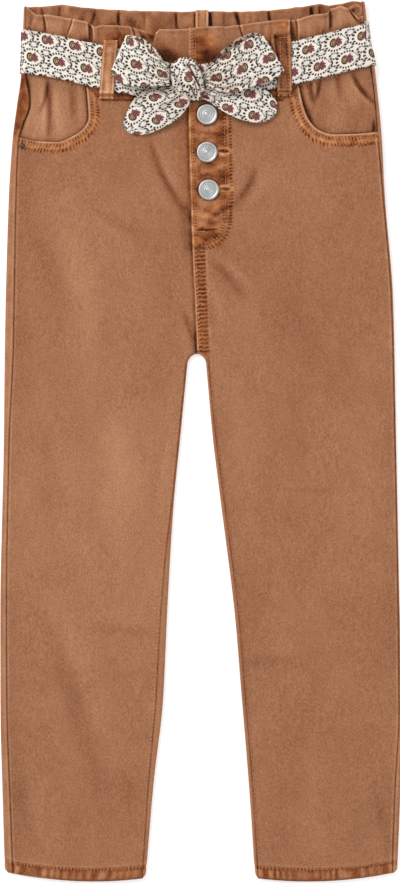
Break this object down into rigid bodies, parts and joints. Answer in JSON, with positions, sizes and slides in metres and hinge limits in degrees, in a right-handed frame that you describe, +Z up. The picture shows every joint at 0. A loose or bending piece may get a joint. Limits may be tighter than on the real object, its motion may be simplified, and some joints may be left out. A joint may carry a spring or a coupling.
{
  "type": "paperbag waist trousers",
  "caption": "Child's trousers laid flat, with a gathered paperbag waist, belt loops, a tied bow belt, a buttoned fly and scoop pockets.",
  "frame": {"origin": "on the surface the trousers lie on, in the middle of their outline", "axes": "+Y towards the waist, -Y towards the hems, +Z up out of the front, +X towards the wearer's left leg"},
  "size_m": [0.3014, 0.6597, 0.0244],
  "materials": {
    "washed_twill": "washed cotton twill",
    "print_cotton": "printed cotton, pressed",
    "steel": "plated, satin",
    "dark_steel": "darkened, satin"
  },
  "bodies": {
    "root": {"back_panel_left": "washed_twill", "back_panel_right": "washed_twill", "back_waist": "washed_twill", "front_panel_left": "washed_twill", "front_panel_right": "washed_twill", "front_waist_left": "washed_twill", "front_waist_right": "washed_twill", "hip_piece_left": "washed_twill", "hip_piece_right": "washed_twill", "belt_carrier_back": "washed_twill", "belt_carrier_left": "washed_twill", "belt_carrier_right": "washed_twill", "belt_back": "print_cotton", "belt_front_left": "print_cotton", "belt_front_right": "print_cotton", "bow_knot": "print_cotton", "bow_loop_left": "print_cotton", "bow_loop_right": "print_cotton", "bow_tail_left": "print_cotton", "bow_tail_right": "print_cotton", "button_top": "steel", "button_middle": "steel", "button_bottom": "steel", "pocket_rivet": "dark_steel"}
  },
  "joints": []
}
